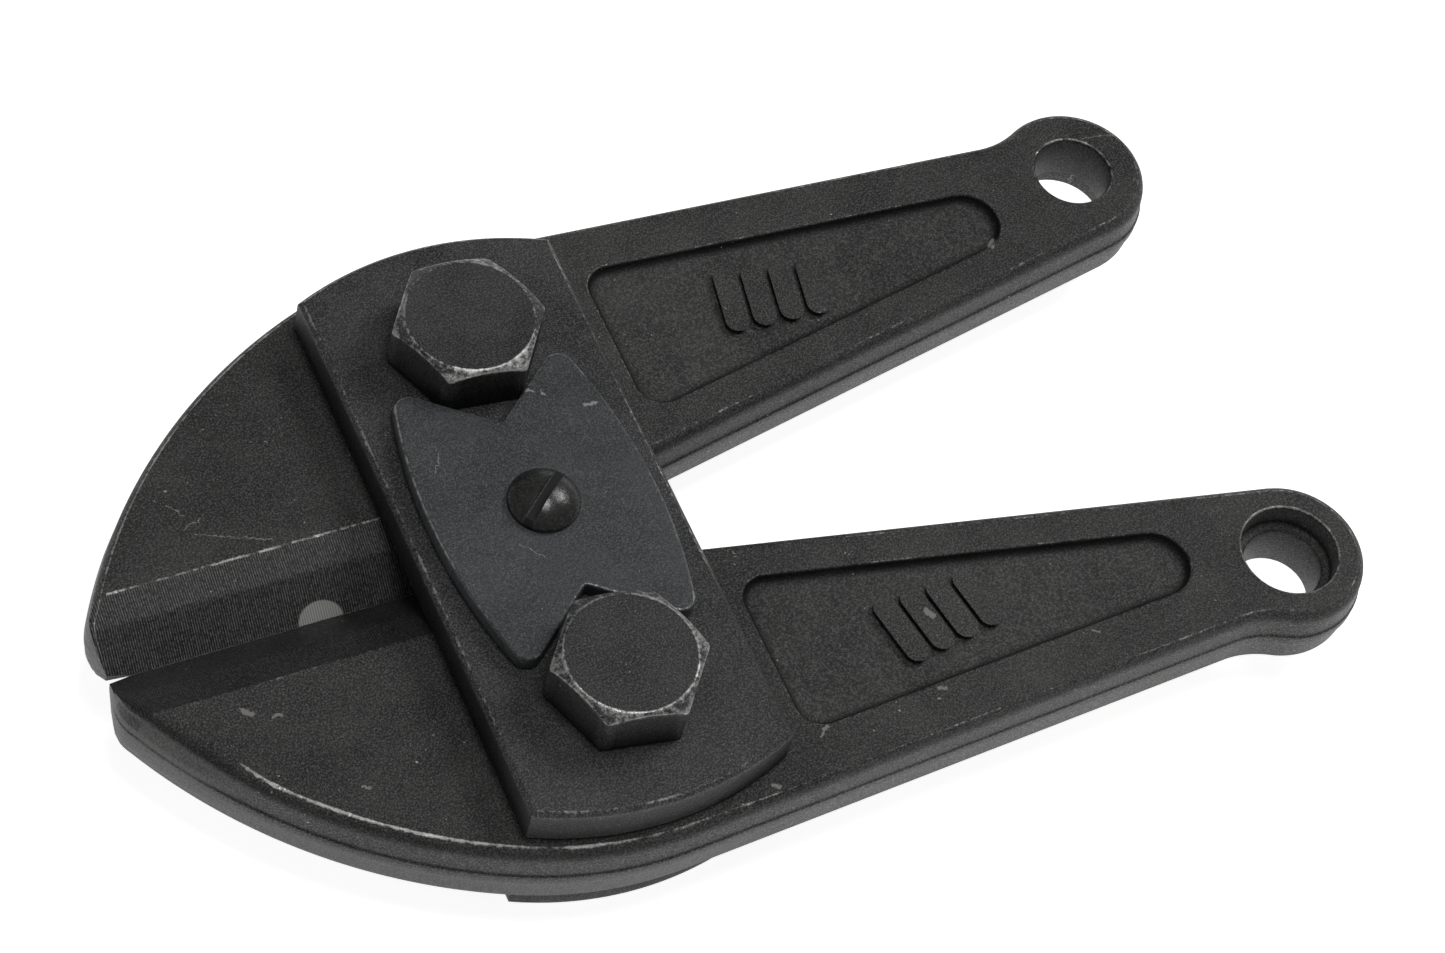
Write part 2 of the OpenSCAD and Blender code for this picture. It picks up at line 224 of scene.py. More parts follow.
def strap_outline():
    """Outline of a strap: a disc cut to the width of the strap."""
    half = STRAP_W / 2
    a = math.degrees(math.acos(half / STRAP_R))
    top = STRAP_R * toward(a)
    flip = np.array([-1, 1])
    return chain(
        (straight(-top * flip, top, 1.5), 1, 1),
        (arc([0, 0], STRAP_R, a, 180 - a), 1, 1),
        (straight(top * flip, -top, 1.5), 1, 1),
        (arc([0, 0], STRAP_R, 180 + a, 360 - a), 1, 1),
    )


def plate_outline():
    """Outline of the lock plate, whose notches clear the facing corners of the bolt heads."""
    corners = []
    for y, turn, angles in ((PIVOT_Y, UPPER_TURN, (240, 300)), (-PIVOT_Y, LOWER_TURN, (60, 120))):
        for a in angles:
            p = np.array([0, y]) + HEAD_AF / math.sqrt(3) * toward(a + turn)
            corners.append((abs(p @ toward(PLATE_TURN)), abs(p @ toward(PLATE_TURN + 90))))
    slope = math.tan(math.radians(NOTCH_ANGLE))
    bottom = min(y - x * slope for x, y in corners) - NOTCH_GAP / math.cos(math.radians(NOTCH_ANGLE))
    side_c = PLATE_SIDE_R - PLATE_W / 2
    up, out = toward(NOTCH_ANGLE), toward(90 + NOTCH_ANGLE)
    base = np.array([side_c, bottom]) - LOBE_R * out
    run = base @ up
    reach = math.sqrt(run ** 2 - base @ base + (PLATE_SIDE_R - LOBE_R) ** 2) - run
    lobe = base + reach * up - [side_c, 0]
    a = direction(lobe + [side_c, 0])
    quarter = np.vstack((
        arc([-side_c, 0], PLATE_SIDE_R, 0, a, 1.0),
        arc(lobe, LOBE_R, a, 90 + NOTCH_ANGLE, 0.3)[1:],
        straight(lobe + LOBE_R * out, [0.5, bottom + 0.5 * slope], 0.8)[1:],
        [[0.2, bottom + 0.22], [0, bottom + 0.16]],
    ))
    upper = np.vstack((quarter, (quarter * [-1, 1])[::-1]))
    whole = np.vstack((upper, -upper))
    points, weights = chain((whole, 1, 1))
    c, s = toward(PLATE_TURN)
    return points @ np.array([[c, s], [-s, c]]), weights


# ---------------------------------------------------------------- skins

class Skin:
    """Rings of points and the faces between them. Every point has a trim value and a wear value that is wear
    above nothing and painted shade below nothing.
    """

    def __init__(self):
        self.points, self.wear, self.trim, self.faces = [], [], [], []

    def ring(self, xy, z, wear=0.0, trim=0.0):
        first = len(self.points)
        n = len(xy)
        z, wear, trim = (np.broadcast_to(np.asarray(v, float), (n,)) for v in (z, wear, trim))
        self.points += [(p[0], p[1], h) for p, h in zip(xy, z)]
        self.wear += list(wear)
        self.trim += list(trim)
        return list(range(first, first + n))

    def bridge(self, a, b):
        n = len(a)
        self.faces += [(a[i], a[(i + 1) % n], b[(i + 1) % n], b[i]) for i in range(n)]

    def sweep(self, rings):
        for a, b in zip(rings, rings[1:]):
            self.bridge(a, b)

    def cap(self, loops, rows=(), height=None):
        """Fills inside the first loop and outside the others, keeping rows of (points, wear)."""
        index = [i for loop in loops for i in loop]
        edges, start = [], 0
        for loop in loops:
            n = len(loop)
            edges += [(start + i, start + (i + 1) % n) for i in range(n)]
            start += n
        for row, wear in rows:
            first = len(index)
            index += self.ring(row, [height(x, y) for x, y in row], wear)
            edges += [(first + i, first + i + 1) for i in range(len(row) - 1)]
        flat = [Vector(self.points[i][:2]) for i in index]
        made = delaunay_2d_cdt(flat, edges, [], 0, 1e-6)
        origin = [index[o[0]] if o else None for o in made[3]]
        for tri in made[2]:
            if any(origin[v] is None for v in tri):
                continue
            c = sum((made[0][v] for v in tri), Vector((0, 0))) / 3
            if inside(c, [self.points[i] for i in loops[0]]) and not any(
                inside(c, [self.points[i] for i in loop]) for loop in loops[1:]
            ):
                self.faces.append(tuple(origin[v] for v in tri))

    def disc(self, ring):
        """Closes a round ring with a fan to its middle."""
        pts = np.array([self.points[i] for i in ring])
        centre = self.ring([pts[:, :2].mean(0)], pts[:, 2].mean())[0]
        n = len(ring)
        self.faces += [(ring[i], ring[(i + 1) % n], centre) for i in range(n)]

    def mesh(self, name, transform, smooth=35):
        """Makes the Blender object, in metres, in its place in the frame."""
        me = bpy.data.meshes.new(name)
        me.from_pydata([tuple(MM * c for c in p) for p in self.points], [], self.faces)
        for key, values in (("wear", self.wear), ("trim", self.trim)):
            me.attributes.new(key, "FLOAT", "POINT").data.foreach_set("value", np.array(values, np.float32))
        bm = bmesh.new()
        bm.from_mesh(me)
        weld(bm)
        loose = [v for v in bm.verts if not v.link_faces]
        bmesh.ops.delete(bm, geom=loose, context="VERTS")
        bmesh.ops.recalc_face_normals(bm, faces=bm.faces)
        bm.to_mesh(me)
        bm.free()
        me.transform(transform)
        if transform.determinant() < 0:
            me.flip_normals()
        me.shade_smooth()
        me.set_sharp_from_angle(angle=math.radians(smooth))
        piece = bpy.data.objects.new(name, me)
        bpy.context.scene.collection.objects.link(piece)
        return piece


def weld(bm, reach=0.002):
    """Joins points that lie within reach, in millimetres, and removes the slivers between them."""
    bmesh.ops.remove_doubles(bm, verts=bm.verts, dist=MM * reach)
    bmesh.ops.dissolve_degenerate(bm, edges=bm.edges, dist=MM * reach / 2)


def inside(p, loop):
    """Is a point inside a loop?"""
    odd = False
    x, y = p[0], p[1]
    x0, y0 = loop[-1][0], loop[-1][1]
    for q in loop:
        x1, y1 = q[0], q[1]
        if (y1 > y) != (y0 > y) and x < (x0 - x1) * (y - y1) / (y0 - y1) + x1:
            odd = not odd
        x0, y0 = x1, y1
    return odd


def circle(centre, radius, n=96):
    """Points of a whole circle."""
    a = np.linspace(0, 2 * math.pi, n, endpoint=False)
    return np.array(centre) + radius * np.column_stack((np.cos(a), np.sin(a)))


def at(x, y, z):
    """Moves a skin that was drawn from the pivot line to its place."""
    return Matrix.Translation((MM * (PIVOT_X + x), MM * y, MM * z))


# ---------------------------------------------------------------- jaws

def soft_min(a, b, k):
    """The smaller of two heights, with a rounded change over."""
    h = max(k - abs(a - b), 0.0) / k
    return min(a, b) - h * h * k / 4


def bevel_height(x, y):
    """Height of the ground bevel above the middle plane of the jaw."""
    if x > BEVEL_END or y > BEVEL_W + 2:
        return JAW_HALF
    crease = JAW_HALF - BEVEL_STEP
    steep = EDGE_LAND + (y - HALF_GAP) * (crease - EDGE_LAND) / (BEVEL_STEEP_W - HALF_GAP)
    shallow = crease + (y - BEVEL_STEEP_W) * BEVEL_STEP / (BEVEL_W - BEVEL_STEEP_W)
    z = soft_min(soft_min(steep, shallow, 0.12), JAW_HALF, 0.06)
    share = min(max((x - BEVEL_END + BEVEL_FADE) / BEVEL_FADE, 0), 1)
    return max(z, EDGE_LAND) * (1 - share) + JAW_HALF * share


# Forged edge of a jaw, from the face to the parting line: inset, height, wear.
# Wear below nothing is painted shade, darkening the forged rounding and the crease at the parting line.
FORGED_EDGE = (
    (2.05, 6.8, 0.0), (1.78, 6.8, 0.3), (1.6, 6.76, 1.0), (1.38, 6.66, 0.6), (1.12, 6.46, -0.1),
    (0.86, 6.12, -0.5), (0.66, 5.68, -0.7), (0.53, 5.15, -0.5), (0.46, 4.5, -0.1), (0.36, 3.0, 0.0),
    (0.27, 1.6, 0.0), (0.25, 1.35, -0.5), (0.2, 1.2, -0.4), (0.07, 1.08, 0.2), (0.02, 0.9, 0.0),
)

# Wall of the pocket, from its rim to its floor: inset, depth, wear. Wear below nothing is painted shade on
# the wall and its fillet.
POCKET_WALL = (
    (-0.45, 0.0, 0.0), (-0.2, 0.0, 0.4), (-0.03, 0.03, 0.6), (0.1, 0.13, 0.2), (0.17, 0.3, -0.7),
    (0.24, 0.6, -1.0), (0.35, 0.9, -1.0), (0.6, 1.2, -1.0), (0.95, 1.42, -0.7), (1.4, 1.55, -0.3),
    (1.9, 1.6, -0.1), (2.4, 1.6, 0.0),
)
POCKET_D = 1.6


def trimmed(points):
    """Where the flash was ground off the back of the blade, from 0 to 1."""
    along = np.clip((22 - points[:, 0]) / 18, 0, 1)
    return along * np.clip((points[:, 1] - 1) / 2, 0, 1)


def bevel_rows(skin, face, line):
    """Rows of points along the creases of the bevel, from the tip back to under the strap."""
    tip = sorted((skin.points[i][1], skin.points[i][0]) for i in face if skin.points[i][0] < -52)
    rows = [(straight([-14, 2.8], [-14, 5.2], 0.8), 0.0)]
    for crease, rubbed in ((BEVEL_STEEP_W, 0.0), (BEVEL_W, line)):
        for beside in (-0.5, -0.12, 0.12, 0.5):
            y = crease + beside
            left = np.interp(y, [p[0] for p in tip], [p[1] for p in tip])
            rows.append((straight([left + 0.4, y], [-9.0, y], 3.0), rubbed if abs(beside) < 0.3 else 0.0))
    return rows


def jaw_skin():
    """One forging, drawn as the upper jaw about its middle plane."""
    skin = Skin()
    edge, weight = jaw_outline()
    normal = inward(edge)
    ground = trimmed(edge)

    blade = np.clip((20 - edge[:, 0]) / 30, 0, 1)
    tip = np.clip((-56 - edge[:, 0]) / 8, 0, 1)
    back = np.where(weight > 0.2, 0.7 + 0.3 * blade, 0)

    def wall(side):
        rings = []
        share = weight * (1 + (0.42 * blade + 0.8 * tip if side < 0 else 0))
        for inset, z, wear in FORGED_EDGE:
            if z < 3.5:
                inset = inset * (1 - 0.7 * tip)
            xy = edge + normal * (share * inset)[:, None]
            top = np.array([bevel_height(x, y) for x, y in xy])
            trim = ground if side > 0 and z < 5.5 else ground * tip * (z < 5.5)
            rub = wear * back * ((1.3 * blade + 1 - blade) * (1 - tip) if side < 0 and wear > 0 else 1.0)
            rings.append(skin.ring(xy, side * np.minimum(z, top), rub, trim))
        return rings

    upper, lower = wall(1), wall(-1)
    skin.sweep(upper)
    skin.sweep(lower)
    skin.bridge(upper[-1], lower[-1])

    pocket, _ = pocket_outline()
    pocket_n = inward(pocket)
    for side in (1, -1):
        face = (upper if side > 0 else lower)[0]
        rim = []
        for inset, depth, wear in POCKET_WALL:
            rim.append(skin.ring(pocket + pocket_n * inset, side * (JAW_HALF - depth), wear))
        skin.sweep(rim)
        skin.cap([rim[-1]])
        pivot = skin.ring(circle([0, PIVOT_Y], SHANK_R + 0.05), side * JAW_HALF)
        boss = skin.ring(circle(BOSS_C, BOSS_FACE_R), side * JAW_HALF)
        skin.cap([face, rim[0], pivot, boss], bevel_rows(skin, face, 0.95 if side > 0 else 0.5),
                 lambda x, y, s=side: s * bevel_height(x, y))
        if side > 0:
            top_pivot, top_boss = pivot, boss
        else:
            skin.bridge(top_pivot, pivot)
            handle_bore(skin, top_boss, boss)
    for side in (1, -1):
        size_bars(skin, side)
    return skin


def handle_bore(skin, top_boss, low_boss):
    """Handle hole with its counterbore on the lower face."""
    rings = [top_boss]
    seat = COUNTERBORE_D - JAW_HALF
    for start_r, start_z, steps in (
        (BORE_R, JAW_HALF, ((0.65, 0, 0), (0.45, 0, 0.8), (0.28, -0.08, 0.7), (0.1, -0.3, 0.2),
                            (0, -0.6, 0))),
        (BORE_R, seat, ((0, 0.45, 0), (0.08, 0.2, 0.3), (0.3, 0, 0.3))),
        (COUNTERBORE_R, seat, ((-0.2, 0, 0), (0, -0.2, 0))),
        (COUNTERBORE_R, -JAW_HALF, ((0, 0.6, 0), (0.06, 0.35, 0.3), (0.25, 0.08, 0.9), (0.42, 0, 0.8),
                                    (0.7, 0, 0))),
    ):
        for wider, higher, wear in steps:
            rings.append(skin.ring(circle(BOSS_C, start_r + wider), start_z + higher, wear))
    rings.append(low_boss)
    skin.sweep(rings)


# Row of plain bars in the pocket: the first one, the step to the next, half sizes and slant
BAR_COUNT, BAR_FIRST, BAR_NEXT = 4, np.array([49.2, 33.2]), np.array([4.8, -0.5])
BAR_HALF_W, BAR_HALF_L, BAR_SHORTER, BAR_SLANT = 1.3, 4.3, 0.25, 80


def size_bars(skin, side):
    """Plain slanted bars raised from the floor of the pocket."""
    floor = JAW_HALF - POCKET_D
    across = toward(BAR_SLANT - 90)
    for i in range(BAR_COUNT):
        centre = BAR_FIRST + BAR_NEXT * i
        half_l = BAR_HALF_L - BAR_SHORTER * i
        ends = []
        for way in (BAR_SLANT + 180, BAR_SLANT):
            end = centre + half_l * toward(way)
            ends.append((arc(end, BAR_HALF_W, way - 90, way + 90, 0.25), 1, 1))
        loop, _ = chain(*ends)
        if np.cross(loop[1] - loop[0], across) > 0:
            loop = loop[::-1]
        n = inward(loop)
        rings = []
        # Below nothing, the wear at the foot of each bar is painted shade.
        for inset, z, wear in ((-0.55, -0.3, 0), (-0.5, 0.0, -0.6), (-0.22, 0.1, -0.8), (0.0, 0.35, -0.5),
                               (0.1, 0.66, 0), (0.24, 0.92, 1.0), (0.45, 1.06, 0.9), (0.75, 1.1, 0.3)):
            rings.append(skin.ring(loop + n * inset, side * (floor + z), wear))
        skin.sweep(rings)
        skin.cap([rings[-1]])
        skin.cap([rings[0]])


def make_jaws(forged, ground):
    """The two jaws, which are the same forging, one of them turned over."""
    turn_over = Matrix.Rotation(math.pi, 4, "X")
    for name, body, turn in (("upper", "upper_jaw", Matrix.Identity(4)), ("lower", "lower_jaw", turn_over)):
        piece = jaw_skin().mesh("forged_jaw_" + name, at(0, 0, JAW_Z) @ turn)
        me = piece.data
        me.materials.append(forged)
        me.materials.append(ground)
        for f in me.polygons:
            pts = [me.vertices[v].co / MM for v in f.vertices]
            across = max(abs(p.y) for p in pts)
            lift = max(abs(p.z - JAW_Z) for p in pts)
            if across < BEVEL_W + 0.11 and max(p.x for p in pts) < PIVOT_X + BEVEL_END and (
                    abs(f.normal.z) > 0.3 and lift < JAW_HALF + 0.01):
                f.material_index = 1
        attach(piece, body)
        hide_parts("jaw_" + name)


# ---------------------------------------------------------------- straps

# Broken edges of a strap: inset, drop from the face, wear. Wear below nothing is painted shade on the side
# wall.
STRAP_TOP = ((1.15, 0.0, 0.0), (0.85, 0.0, 0.6), (0.72, 0.03, 0.8), (0.12, 0.66, 0.1), (0.03, 0.8, 0.3),
             (0.0, 0.98, -0.3), (0.0, 1.6, -0.6))
STRAP_LOW = ((0.8, 0.0, 0.0), (0.42, 0.0, 0.3), (0.28, 0.04, 0.7), (0.08, 0.22, 0.5), (0.0, 0.45, -0.3),
             (0.0, 1.2, -0.9))


def plate_skin(outline, thick, top, low, holes):
    """A flat piece with broken edges. holes: (centre, radius, edge break on top, edge break below)."""
    skin = Skin()
    edge, weight = outline
    normal = inward(edge)
    rings = [skin.ring(edge + normal * inset, thick - drop, wear) for inset, drop, wear in top]
    rings += [skin.ring(edge + normal * inset, drop, wear) for inset, drop, wear in low[::-1]]
    skin.sweep(rings)
    tops, lows = [rings[0]], [rings[-1]]
    for centre, r, b_top, b_low in holes:
        bore = [skin.ring(circle(centre, r + b_top + 0.3), thick),
                skin.ring(circle(centre, r + b_top), thick, 0.6),
                skin.ring(circle(centre, r), thick - b_top, 0.4),
                skin.ring(circle(centre, r), thick - b_top - 0.4),
                skin.ring(circle(centre, r), b_low + 0.4),
                skin.ring(circle(centre, r), b_low, 0.4),
                skin.ring(circle(centre, r + b_low), 0, 0.6),
                skin.ring(circle(centre, r + b_low + 0.3), 0)]
        skin.sweep(bore)
        tops.append(bore[0])
        lows.append(bore[-1])
    skin.cap(tops)
    skin.cap(lows)
    return skin


def make_straps(material):
    """Front and rear strap."""
    bolts = [(0, PIVOT_Y), (0, -PIVOT_Y)]
    front_holes = [(c, SHANK_R + 0.1, 0.3, 0.3) for c in bolts] + [((0, 0), SCREW_SHANK_R + 0.05, 0.3, 0.3)]
    rear_holes = [(c, THREAD_R + 0.05, 0.3, 0.7) for c in bolts]
    front = plate_skin(strap_outline(), STRAP_T, STRAP_TOP, STRAP_LOW, front_holes)
    rear = plate_skin(strap_outline(), STRAP_T, STRAP_LOW, STRAP_TOP, rear_holes)
    for name, skin, z in (("front", front, FRONT_Z), ("rear", rear, 0)):
        piece = skin.mesh("clamp_strap_" + name, at(0, 0, z))
        piece.data.materials.append(material)
        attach(piece, "frame")
        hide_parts("strap_" + name)


def make_lock_plate(material):
    """Notched plate that keeps the bolt heads from turning."""
    top = ((0.75, 0.0, 0.0), (0.45, 0.0, 0.5), (0.3, 0.04, 1.0), (0.14, 0.14, 0.8), (0.04, 0.3, 0.3),
           (0.0, 0.48, 0.0), (0.0, 0.8, 0.0))
    low = ((0.5, 0.0, 0.0), (0.25, 0.0, 0.2), (0.07, 0.08, 0.5), (0.0, 0.25, 0.1), (0.0, 0.5, 0.0))
    skin = plate_skin(plate_outline(), PLATE_T, top, low, [((0, 0), SCREW_SHANK_R + 0.3, 0.2, 0.2)])
    piece = skin.mesh("notched_lock_plate", at(0, 0, PLATE_Z))
    piece.data.materials.append(material)
    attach(piece, "frame")
    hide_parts("lock_plate")


# ---------------------------------------------------------------- bolts and screw

def hexagon(angles, turn):
    """Distance from the axis to the side of the bolt head in each direction."""
    a = np.radians((np.degrees(angles) - turn) % 60 - 30)
    r = HEAD_AF / 2 / np.cos(a)
    worn = HEAD_AF / math.sqrt(3) - 0.12
    return -np.log(np.exp(-r * 9) + np.exp(-worn * 9)) / 9


def bolt_skin(turn):
    """Shoulder bolt, with the underside of its head at height 0."""
    skin = Skin()
    n = 240
    a = np.linspace(0, 2 * math.pi, n, endpoint=False)
    unit = np.column_stack((np.cos(a), np.sin(a)))
    side = hexagon(a, turn)
    cone = math.tan(math.radians(30))
    rim = HEAD_H - (side - HEAD_RING_R) * cone

    def round_ring(r, z, wear=0.0):
        return skin.ring(unit * np.broadcast_to(r, (n,))[:, None], z, wear)

    # Wear below nothing is painted shade: the flat sides of the head are painted dark, less so at the rubbed
    # corners.
    corner = np.clip((side - 11.8) / 0.7, 0, 1)
    shank = -(STRAP_T + 0.3 + 2 * JAW_HALF)
    rings = [round_ring(8.7, 0.0), round_ring(side - 0.5, 0.0), round_ring(side - 0.28, 0.0, 0.2),
             round_ring(side - 0.06, 0.12, 0.0), round_ring(side, 0.3, -0.8),
             round_ring(side, 0.6, corner - 0.9), round_ring(side, rim * 0.5, corner - 0.7),
             round_ring(side, rim - 0.6, 0.8 * corner - 0.5),
             round_ring(side - 0.02, rim - 0.2, 0.4 + 0.5 * corner),
             round_ring(side - 0.09, rim - 0.03, 1.0), round_ring(side - 0.25, rim + 0.09, 0.8)]
    for share in (0.75, 0.5, 0.25):
        r = HEAD_RING_R + (side - 0.25 - HEAD_RING_R) * share
        rings.append(round_ring(r, HEAD_H - (r - HEAD_RING_R) * cone - 0.02, 0.75))
    rings += [round_ring(HEAD_RING_R, HEAD_H - 0.05, 1.0), round_ring(HEAD_RING_R - 0.14, HEAD_H, 0.95),
              round_ring(HEAD_RING_R - 0.4, HEAD_H, 0.25), round_ring(HEAD_RING_R - 0.9, HEAD_H - 0.01, 0.0),
              round_ring(HEAD_RING_R - 2.0, HEAD_H - 0.03, 0.0), round_ring(5.0, HEAD_H - 0.05, 0.0),
              round_ring(2.0, HEAD_H - 0.05, 0.0)]
    skin.sweep(rings)
    skin.disc(rings[-1])
    down = [rings[0], round_ring(SHANK_R, -0.0), round_ring(SHANK_R, -0.6), round_ring(SHANK_R, shank + 0.4),
            round_ring(SHANK_R - 0.3, shank + 0.02), round_ring(THREAD_R - 0.5, shank + 0.02)]
    z = shank
    end = shank - STRAP_T + 0.5
    while z - 1.0 > end + 1.4:
        down += [round_ring(THREAD_R - 0.65, z - 0.15), round_ring(THREAD_R - 0.02, z - 0.85),
                 round_ring(THREAD_R - 0.02, z - 1.05), round_ring(THREAD_R - 0.65, z - 1.75)]
        z -= 2.0
    down += [round_ring(THREAD_R - 0.1, end + 1.1, 0.4), round_ring(THREAD_R - 1.1, end + 0.08, 0.8),
             round_ring(THREAD_R - 1.3, end, 0.8), round_ring(THREAD_R - 1.8, end, 0.2),
             round_ring(2.0, end, 0.0)]
    skin.sweep(down)
    skin.disc(down[-1])
    return skin


def make_bolts(material):
    """The two pivot bolts, whose heads are turned to different angles."""
    for name, y, turn in (("upper", PIVOT_Y, UPPER_TURN), ("lower", -PIVOT_Y, LOWER_TURN)):
        piece = bolt_skin(turn).mesh("shoulder_bolt_" + name, at(0, y, PLATE_Z), 28)
        piece.data.materials.append(material)
        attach(piece, "frame")
        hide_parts("pivot_bolt_" + name)


def make_lock_screw(material):
    """Slotted dome headed screw in the middle of the lock plate."""
    skin = Skin()
    dome_r = (SCREW_R ** 2 + SCREW_DOME ** 2) / (2 * SCREW_DOME)
    top = SCREW_RIM + SCREW_DOME

    def ring(r, z, wear=0.0):
        return skin.ring(circle((0, 0), r, 128), z, wear)

    rings = [ring(SCREW_SHANK_R, 0.0), ring(SCREW_R - 0.5, 0.0), ring(SCREW_R - 0.3, 0.0),
             ring(SCREW_R - 0.08, 0.1, 0.2), ring(SCREW_R, 0.3), ring(SCREW_R, 0.72),
             ring(SCREW_R - 0.03, 0.86, 0.4), ring(SCREW_R - 0.12, 0.96, 0.6)]
    for share in np.linspace(0.95, 0.03, 20):
        r = SCREW_R * share
        rings.append(ring(r, top - dome_r + math.sqrt(dome_r ** 2 - r * r)))
    skin.sweep(rings)
    skin.disc(rings[-1])
    down = [rings[0], ring(SCREW_SHANK_R, -PLATE_T)]
    z = -PLATE_T
    while z > -PLATE_T - 5.4:
        for groove, drop in ((0.35, 0.2), (0, 0.5), (0, 0.6), (0.35, 0.9)):
            down.append(ring(SCREW_SHANK_R - groove, z - drop))
        z -= 1.0
    down += [ring(SCREW_SHANK_R - 0.4, -PLATE_T - 6.2), ring(SCREW_SHANK_R - 0.9, -PLATE_T - 6.5)]
    skin.sweep(down)
    skin.disc(down[-1])
    piece = skin.mesh("slotted_lock_screw", at(0, 0, PLATE_Z + PLATE_T))

    cutter = bpy.data.meshes.new("slot_cutter")
    bm = bmesh.new()
    bmesh.ops.create_cube(bm, size=1)
    bm.to_mesh(cutter)
    bm.free()
    cutter.transform(at(0, 0, PLATE_Z + PLATE_T + top - SLOT_D + 2)
                     @ Matrix.Rotation(math.radians(SLOT_TURN), 4, "Z")
                     @ Matrix.Diagonal((MM * 16, MM * SLOT_W, MM * 4, 1)))
    tool = bpy.data.objects.new("slot_cutter", cutter)
    bpy.context.scene.collection.objects.link(tool)
    cut = piece.modifiers.new("slot", "BOOLEAN")
    cut.object, cut.operation, cut.solver = tool, "DIFFERENCE", "EXACT"
    soften = piece.modifiers.new("slot_edges", "BEVEL")
    soften.width, soften.segments, soften.limit_method = MM * 0.12, 2, "ANGLE"
    soften.angle_limit = math.radians(50)
    settle(piece)
    bpy.data.objects.remove(tool)
    bpy.data.meshes.remove(cutter)
    piece.data.materials.clear()
    piece.data.materials.append(material)
    piece.data.set_sharp_from_angle(angle=math.radians(35))
    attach(piece, "frame")
    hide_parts("lock_screw")


def settle(piece):
    """Applies the modifiers of a piece."""
    bpy.context.view_layer.update()
    done = bpy.data.meshes.new_from_object(piece.evaluated_get(bpy.context.evaluated_depsgraph_get()))
    piece.modifiers.clear()
    piece.data = done
    bm = bmesh.new()
    bm.from_mesh(done)
    weld(bm, 0.02)
    bm.to_mesh(done)
    bm.free()


# ---------------------------------------------------------------- finishes

def feed(tree, socket, value):
    """Links a socket to another one, or sets its value."""
    if isinstance(value, bpy.types.NodeSocket):
        tree.links.new(value, socket)
    else:
        socket.default_value = value


class Nodes:
    """Short hand for building a node tree."""

    def __init__(self, tree):
        self.tree = tree

    def add(self, kind, inputs=None, **settings):
        node = self.tree.nodes.new("ShaderNode" + kind)
        for key, value in settings.items():
            setattr(node, key, value)
        for key, value in (inputs or {}).items():
            feed(self.tree, node.inputs[key], value)
        return node

    def group(self, tree, inputs):
        return self.add("Group", inputs, node_tree=tree).outputs

    def math(self, operation, a, b=0.0, clamp=False):
        return self.add("Math", {0: a, 1: b}, operation=operation, use_clamp=clamp).outputs[0]

    def vector(self, operation, a, b):
        return self.add("VectorMath", {0: a, 1: b}, operation=operation).outputs[0]

    def noise(self, where, size_mm, detail=2.0, rough=0.5, stretch=None):
        if stretch:
            where = self.vector("MULTIPLY", where, stretch)
        return self.add("TexNoise", {"Vector": where, "Scale": 1 / (MM * size_mm), "Detail": detail,
                                     "Roughness": rough}).outputs["Fac"]

    def ramp(self, value, low, high, out_low=0.0, out_high=1.0):
        return self.add("MapRange", {0: value, 1: low, 2: high, 3: out_low, 4: out_high}).outputs[0]

    def mix(self, share, a, b):
        return self.add("Mix", {0: share, 6: a, 7: b}, data_type="RGBA").outputs[2]

    def blend(self, share, a, b):
        return self.add("Mix", {0: share, 2: a, 3: b}, data_type="FLOAT").outputs[0]


def grey(level, tint=(1.0, 1.0, 1.0)):
    """A grey with a slight tint."""
    return (level * tint[0], level * tint[1], level * tint[2], 1.0)


def new_group(name, inputs, outputs):
    """A node group with its named sockets, and its two ends."""
    tree = bpy.data.node_groups.new(name, "ShaderNodeTree")
    for label, kind, value in inputs:
        socket = tree.interface.new_socket(label, in_out="INPUT", socket_type="NodeSocket" + kind)
        if value is not None:
            socket.default_value = value
    for label, kind in outputs:
        tree.interface.new_socket(label, in_out="OUTPUT", socket_type="NodeSocket" + kind)
    return Nodes(tree), tree.nodes.new("NodeGroupInput").outputs, tree.nodes.new("NodeGroupOutput").inputs


